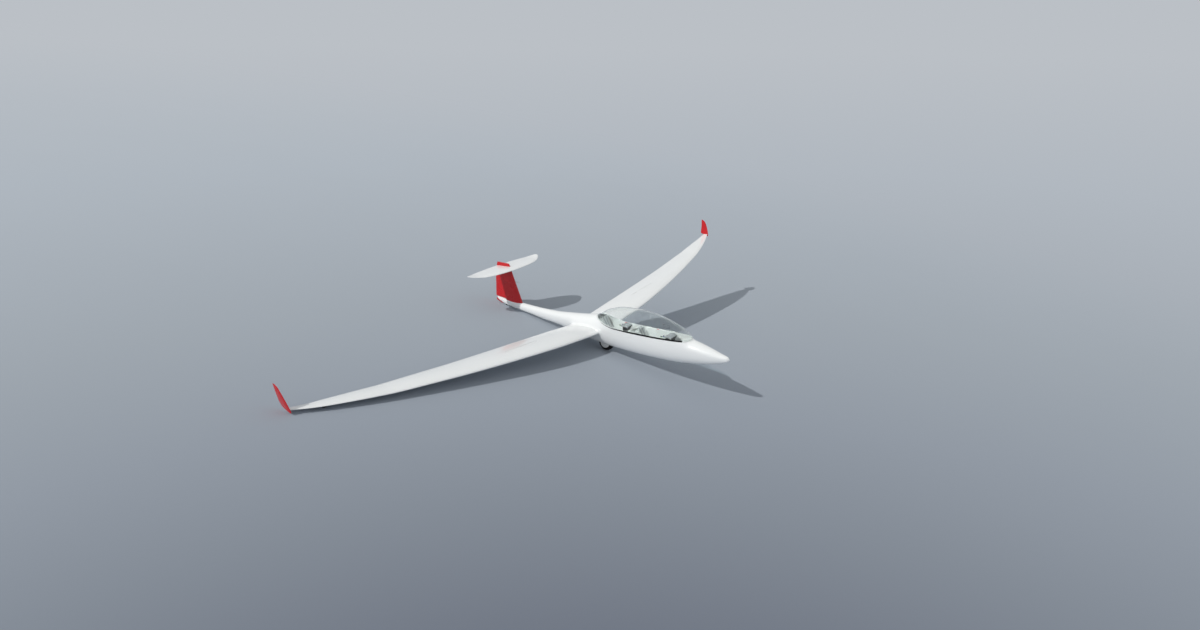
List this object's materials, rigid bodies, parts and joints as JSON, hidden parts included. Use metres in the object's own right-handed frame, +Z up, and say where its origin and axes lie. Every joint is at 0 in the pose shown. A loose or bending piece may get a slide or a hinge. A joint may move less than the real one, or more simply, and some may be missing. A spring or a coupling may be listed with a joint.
{
  "type": "sailplane glider",
  "caption": "Two-seat high-performance glider with long swept-up wings, winglets, a T-tail and one main wheel, parked with a wing tip on the ground.",
  "frame": {"origin": "on the ground under the middle of the glider's outline as it is parked", "axes": "nose towards -Y, port wing towards +X, starboard wing tip on the ground, +Z up"},
  "size_m": [19.8486, 8.7138, 3.0021],
  "materials": {
    "gelcoat_white": "gloss white gelcoat over glass fibre",
    "seat_fabric": "dark grey woven cover",
    "frame_black": "satin black",
    "canopy_glass": "clear moulded acrylic",
    "cockpit_grey": "pale grey textured lining",
    "signal_red": "gloss red paint over glass fibre",
    "steel": "satin steel",
    "panel_black": "matt black",
    "wheel_grey": "satin cast alloy",
    "rubber_black": "black tyre rubber"
  },
  "bodies": {
    "glider": {"backrest_front": "seat_fabric", "backrest_rear": "seat_fabric", "cockpit_floor": "cockpit_grey", "cushion_front": "seat_fabric", "cushion_rear": "seat_fabric", "fin": "signal_red", "fin_cap": "signal_red", "fuselage": "gelcoat_white", "gear_bracket": "steel", "gear_door_port": "gelcoat_white", "gear_door_starboard": "gelcoat_white", "instrument_panel_front": "panel_black", "instrument_panel_rear": "panel_black", "main_axle": "steel", "pedals_front": "steel", "seat_front": "cockpit_grey", "seat_rear": "cockpit_grey", "stick_front": "panel_black", "stick_rear": "panel_black", "tail_axle": "steel", "tail_boom": "gelcoat_white", "tail_bumper": "signal_red", "tailplane": "gelcoat_white", "tip_skid_port": "frame_black", "tip_skid_starboard": "frame_black", "wheel_well": "cockpit_grey", "wing_port": "gelcoat_white", "wing_starboard": "gelcoat_white", "wing_tip_port": "gelcoat_white", "wing_tip_starboard": "gelcoat_white", "winglet_port": "signal_red", "winglet_starboard": "signal_red"},
    "canopy": {"canopy_frame": "frame_black", "canopy_glass": "canopy_glass"},
    "main_wheel": {"main_tyre": "rubber_black", "main_rim": "wheel_grey"},
    "tail_wheel": {"tail_tyre": "rubber_black", "tail_hub": "wheel_grey"},
    "rudder": {"rudder": "signal_red"},
    "elevator": {"elevator": "gelcoat_white"},
    "aileron_inner_port": {"aileron_inner_port": "gelcoat_white"},
    "aileron_outer_port": {"aileron_outer_port": "gelcoat_white"},
    "aileron_inner_starboard": {"aileron_inner_starboard": "gelcoat_white"},
    "aileron_outer_starboard": {"aileron_outer_starboard": "gelcoat_white"},
    "airbrake_port": {"airbrake_port": "gelcoat_white"},
    "airbrake_starboard": {"airbrake_starboard": "gelcoat_white"}
  },
  "joints": [
    {"name": "canopy_hinge", "type": "hinge", "parent": "glider", "child": "canopy", "pos_m": [-0.29864, -1.52109, 1.03699], "axis": [-0.019, -0.9874, 0.1571], "range_deg": [0, 85]},
    {"name": "main_wheel_spin", "type": "hinge", "parent": "glider", "child": "main_wheel", "pos_m": [0.18242, -0.33666, 0.26429], "axis": [0.9928, 0, 0.1198], "continuous": true},
    {"name": "tail_wheel_spin", "type": "hinge", "parent": "glider", "child": "tail_wheel", "pos_m": [0.20286, 3.74273, 0.09497], "axis": [0.9928, 0, 0.1198], "continuous": true},
    {"name": "rudder_hinge", "type": "hinge", "parent": "glider", "child": "rudder", "pos_m": [0.18284, 3.77471, 0.26081], "axis": [-0.1158, 0.2585, 0.959], "range_deg": [-30, 30]},
    {"name": "elevator_hinge", "type": "hinge", "parent": "glider", "child": "elevator", "pos_m": [0.05916, 4.13438, 1.28547], "axis": [-0.9928, 0, -0.1198], "range_deg": [-25, 18]},
    {"name": "aileron_hinge_inner_port", "type": "hinge", "parent": "glider", "child": "aileron_inner_port", "pos_m": [6.58619, 1.08322, 1.74452], "axis": [0.9774, 0.1088, 0.1811], "range_deg": [-20, 20]},
    {"name": "aileron_hinge_inner_starboard", "type": "hinge", "parent": "glider", "child": "aileron_inner_starboard", "pos_m": [-6.38964, 1.08322, 0.17833], "axis": [0.9924, -0.1088, 0.0567], "range_deg": [-20, 20]},
    {"name": "aileron_hinge_outer_port", "type": "hinge", "parent": "glider", "child": "aileron_outer_port", "pos_m": [8.4745, 1.30721, 2.12248], "axis": [0.9694, 0.1238, 0.2121], "range_deg": [-20, 20]},
    {"name": "aileron_hinge_outer_starboard", "type": "hinge", "parent": "glider", "child": "aileron_outer_starboard", "pos_m": [-8.31365, 1.30721, 0.09614], "axis": [0.992, -0.1238, 0.0246], "range_deg": [-20, 20]},
    {"name": "airbrake_slide_port", "type": "slide", "parent": "glider", "child": "airbrake_port", "axis": [-0.1936, 0.1578, 0.9683], "range_m": [0, 0.092]},
    {"name": "airbrake_slide_starboard", "type": "slide", "parent": "glider", "child": "airbrake_starboard", "axis": [-0.0424, 0.1578, 0.9866], "range_m": [0, 0.092]}
  ],
  "couplings": [
    {"joint": "aileron_hinge_outer_port", "follows": "aileron_hinge_inner_port", "ratio": 1},
    {"joint": "aileron_hinge_inner_starboard", "follows": "aileron_hinge_inner_port", "ratio": -1},
    {"joint": "aileron_hinge_outer_starboard", "follows": "aileron_hinge_inner_port", "ratio": -1},
    {"joint": "airbrake_slide_starboard", "follows": "airbrake_slide_port", "ratio": 1}
  ]
}
